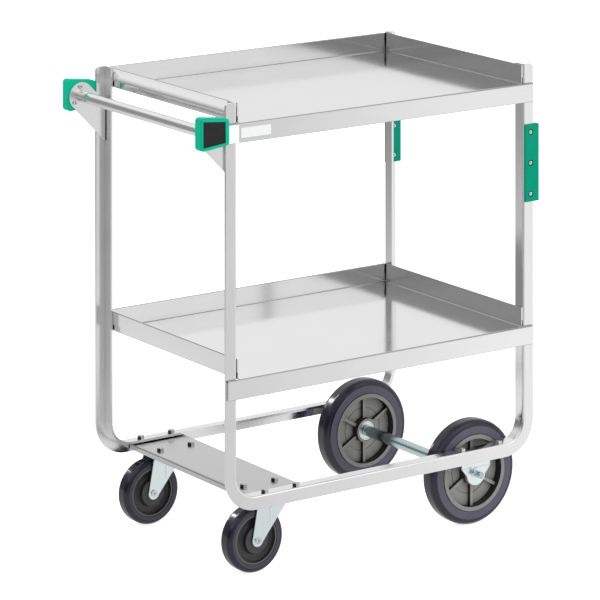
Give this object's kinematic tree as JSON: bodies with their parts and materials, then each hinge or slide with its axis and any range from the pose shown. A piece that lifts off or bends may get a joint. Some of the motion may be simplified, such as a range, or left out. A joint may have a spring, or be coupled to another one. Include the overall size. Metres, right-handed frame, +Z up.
{
  "type": "utility cart",
  "caption": "Two-deck stainless utility cart with tubular push handle, swivel casters at the handle end and large wheels on a fixed axle.",
  "frame": {"origin": "centre of the overall plan outline at floor level", "axes": "+X from the handle end to the large-wheel end, +Y to the left side of the cart, +Z up"},
  "size_m": [0.803, 0.4896, 0.893],
  "materials": {
    "stainless_frame": "satin brushed stainless angle",
    "stainless_sheet": "smooth satin stainless sheet",
    "stainless_tube": "polished stainless tube",
    "steel_fasteners": "bright plated steel",
    "teal_bumper": "satin moulded plastic, teal green",
    "charcoal_pad": "fine textured soft plastic",
    "blank_label": "plain printed-label stock left blank",
    "zinc_plated": "bright zinc plating with a cool tint",
    "white_bushing": "smooth plain bearing plastic",
    "caster_hub_plastic": "moulded, dark warm grey",
    "caster_tread_rubber": "smooth solid tread, dark grey",
    "front_hub_plastic": "moulded, light grey-green",
    "front_tread_rubber": "smooth solid tread, dark grey with lighter sides"
  },
  "bodies": {
    "cart_frame": {"side_frame_left": "stainless_frame", "side_frame_right": "stainless_frame", "top_shelf": "stainless_sheet", "lower_shelf": "stainless_sheet", "top_shelf_stiffener": "stainless_sheet", "lower_shelf_stiffener": "stainless_sheet", "handle_tube": "stainless_tube", "handle_bracket_left": "stainless_frame", "handle_bracket_right": "stainless_frame", "handle_bumper_left": "teal_bumper", "handle_bumper_right": "teal_bumper", "bumper_pad_left": "charcoal_pad", "bumper_pad_right": "charcoal_pad", "handle_bracket_screws": "steel_fasteners", "corner_bumper_left": "teal_bumper", "corner_bumper_right": "teal_bumper", "corner_bumper_screws": "steel_fasteners", "corner_bumper_nuts": "steel_fasteners", "label_plate": "blank_label", "caster_cross_plate": "stainless_frame", "caster_plate_spacers": "steel_fasteners", "caster_mounting_bolts": "steel_fasteners", "caster_mounting_nuts": "steel_fasteners", "axle_hanger_left": "zinc_plated", "axle_hanger_right": "zinc_plated", "axle_hanger_bolts": "steel_fasteners", "axle_hanger_nuts": "steel_fasteners", "front_axle": "zinc_plated", "axle_spacer_tube": "zinc_plated", "axle_washers": "zinc_plated", "axle_cotter_pins": "zinc_plated", "caster_plate_left": "zinc_plated", "caster_plate_right": "zinc_plated", "caster_kingpin_left": "zinc_plated", "caster_kingpin_right": "zinc_plated", "caster_balls_left": "steel_fasteners", "caster_balls_right": "steel_fasteners"},
    "caster_swivel_left": {"caster_fork_left": "zinc_plated", "caster_axle_left": "steel_fasteners", "caster_axle_nut_left": "steel_fasteners", "caster_sleeve_left": "steel_fasteners"},
    "caster_swivel_right": {"caster_fork_right": "zinc_plated", "caster_axle_right": "steel_fasteners", "caster_axle_nut_right": "steel_fasteners", "caster_sleeve_right": "steel_fasteners"},
    "caster_wheel_left": {"caster_bushing_left": "white_bushing", "caster_hub_left": "caster_hub_plastic", "caster_tread_left": "caster_tread_rubber"},
    "caster_wheel_right": {"caster_bushing_right": "white_bushing", "caster_hub_right": "caster_hub_plastic", "caster_tread_right": "caster_tread_rubber"},
    "front_wheel_left": {"front_hub_left": "front_hub_plastic", "front_bearings_left": "steel_fasteners", "front_tread_left": "front_tread_rubber"},
    "front_wheel_right": {"front_hub_right": "front_hub_plastic", "front_bearings_right": "steel_fasteners", "front_tread_right": "front_tread_rubber"}
  },
  "joints": [
    {"name": "caster_swivel_left", "type": "hinge", "parent": "cart_frame", "child": "caster_swivel_left", "pos_m": [-0.204, 0.1795, 0.139], "axis": [0, 0, 1], "continuous": true},
    {"name": "caster_spin_left", "type": "hinge", "parent": "caster_swivel_left", "child": "caster_wheel_left", "pos_m": [-0.245, 0.1795, 0.0625], "axis": [0, 1, 0], "continuous": true},
    {"name": "front_spin_left", "type": "hinge", "parent": "cart_frame", "child": "front_wheel_left", "pos_m": [0.2685, 0.178, 0.1016], "axis": [0, 1, 0], "continuous": true},
    {"name": "caster_swivel_right", "type": "hinge", "parent": "cart_frame", "child": "caster_swivel_right", "pos_m": [-0.204, -0.1795, 0.139], "axis": [0, 0, 1], "continuous": true},
    {"name": "caster_spin_right", "type": "hinge", "parent": "caster_swivel_right", "child": "caster_wheel_right", "pos_m": [-0.245, -0.1795, 0.0625], "axis": [0, 1, 0], "continuous": true},
    {"name": "front_spin_right", "type": "hinge", "parent": "cart_frame", "child": "front_wheel_right", "pos_m": [0.2685, -0.178, 0.1016], "axis": [0, 1, 0], "continuous": true}
  ]
}
